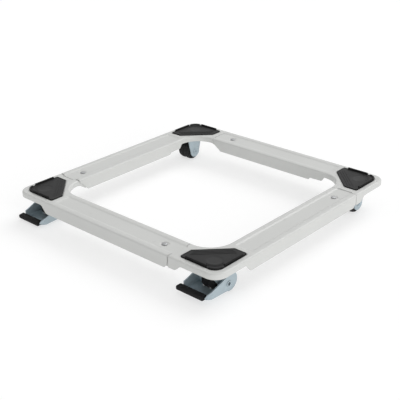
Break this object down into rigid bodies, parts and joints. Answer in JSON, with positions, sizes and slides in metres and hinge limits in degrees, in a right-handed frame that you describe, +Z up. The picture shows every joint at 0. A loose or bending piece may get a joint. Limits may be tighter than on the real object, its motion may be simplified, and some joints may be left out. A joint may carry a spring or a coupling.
{
  "type": "appliance roller base",
  "caption": "Square telescoping steel frame on fixed casters that carries an appliance, with corner pads and brake pedals at the front.",
  "frame": {"origin": "on the floor under the middle of the whole part, with the frame closed", "axes": "+Z up from the floor; +X to the right seen from the pedals; -Y towards the pedals, the front"},
  "size_m": [0.4662, 0.4742, 0.0593],
  "materials": {
    "frame_paint": "smooth light grey powder coat",
    "pad_rubber": "matt black",
    "zinc": "bluish zinc plate",
    "screw_steel": "plain zinc plate",
    "wheel_plastic": "black moulded plastic",
    "tyre_rubber": "matt black tread",
    "grip_rubber": "matt black"
  },
  "bodies": {
    "corner_front_left": {"corner_frame_front_left": "frame_paint", "pad_front_left": "pad_rubber", "clamp_screw_front_left": "screw_steel", "clamp_nut_front_left": "screw_steel", "caster_fork_front_left": "zinc", "fork_rivet_front_left_ahead": "screw_steel", "fork_rivet_front_left_behind": "screw_steel", "caster_axle_front_left": "zinc", "pedal_sleeve_front_left_left": "zinc", "pedal_sleeve_front_left_right": "zinc"},
    "wheel_front_left": {"wheel_core_front_left": "wheel_plastic", "wheel_tyre_front_left": "tyre_rubber"},
    "pedal_front_left": {"brake_pedal_front_left": "zinc", "pedal_grip_front_left": "grip_rubber"},
    "corner_front_right": {"corner_frame_front_right": "frame_paint", "pad_front_right": "pad_rubber", "clamp_screw_front_right": "screw_steel", "clamp_nut_front_right": "screw_steel", "caster_fork_front_right": "zinc", "fork_rivet_front_right_ahead": "screw_steel", "fork_rivet_front_right_behind": "screw_steel", "caster_axle_front_right": "zinc", "pedal_sleeve_front_right_left": "zinc", "pedal_sleeve_front_right_right": "zinc"},
    "wheel_front_right": {"wheel_core_front_right": "wheel_plastic", "wheel_tyre_front_right": "tyre_rubber"},
    "pedal_front_right": {"brake_pedal_front_right": "zinc", "pedal_grip_front_right": "grip_rubber"},
    "corner_back_right": {"corner_frame_back_right": "frame_paint", "pad_back_right": "pad_rubber", "clamp_screw_back_right": "screw_steel", "clamp_nut_back_right": "screw_steel", "caster_fork_back_right": "zinc", "fork_rivet_back_right_ahead": "screw_steel", "fork_rivet_back_right_behind": "screw_steel", "caster_axle_back_right": "zinc"},
    "wheel_back_right": {"wheel_core_back_right": "wheel_plastic", "wheel_tyre_back_right": "tyre_rubber"},
    "corner_back_left": {"corner_frame_back_left": "frame_paint", "pad_back_left": "pad_rubber", "clamp_screw_back_left": "screw_steel", "clamp_nut_back_left": "screw_steel", "caster_fork_back_left": "zinc", "fork_rivet_back_left_ahead": "screw_steel", "fork_rivet_back_left_behind": "screw_steel", "caster_axle_back_left": "zinc"},
    "wheel_back_left": {"wheel_core_back_left": "wheel_plastic", "wheel_tyre_back_left": "tyre_rubber"}
  },
  "joints": [
    {"name": "front_right_slide", "type": "slide", "parent": "corner_front_left", "child": "corner_front_right", "axis": [1, 0, 0], "range_m": [0, 0.205]},
    {"name": "back_left_slide", "type": "slide", "parent": "corner_front_left", "child": "corner_back_left", "axis": [0, 1, 0], "range_m": [0, 0.205]},
    {"name": "back_right_slide", "type": "slide", "parent": "corner_front_right", "child": "corner_back_right", "axis": [0, 1, 0], "range_m": [0, 0.205]},
    {"name": "wheel_front_left_spin", "type": "hinge", "parent": "corner_front_left", "child": "wheel_front_left", "pos_m": [-0.1946, -0.184, 0.018], "axis": [1, 0, 0], "continuous": true},
    {"name": "wheel_front_right_spin", "type": "hinge", "parent": "corner_front_right", "child": "wheel_front_right", "pos_m": [0.1904, -0.184, 0.018], "axis": [1, 0, 0], "continuous": true},
    {"name": "wheel_back_right_spin", "type": "hinge", "parent": "corner_back_right", "child": "wheel_back_right", "pos_m": [0.197, 0.1794, 0.018], "axis": [1, 0, 0], "continuous": true},
    {"name": "wheel_back_left_spin", "type": "hinge", "parent": "corner_back_left", "child": "wheel_back_left", "pos_m": [-0.197, 0.1794, 0.018], "axis": [1, 0, 0], "continuous": true},
    {"name": "pedal_front_left_lift", "type": "hinge", "parent": "corner_front_left", "child": "pedal_front_left", "pos_m": [-0.1946, -0.184, 0.018], "axis": [-1, 0, 0], "range_deg": [0, 25]},
    {"name": "pedal_front_right_lift", "type": "hinge", "parent": "corner_front_right", "child": "pedal_front_right", "pos_m": [0.1904, -0.184, 0.018], "axis": [-1, 0, 0], "range_deg": [0, 25]}
  ],
  "couplings": [
    {"joint": "back_right_slide", "follows": "back_left_slide", "ratio": 1}
  ]
}
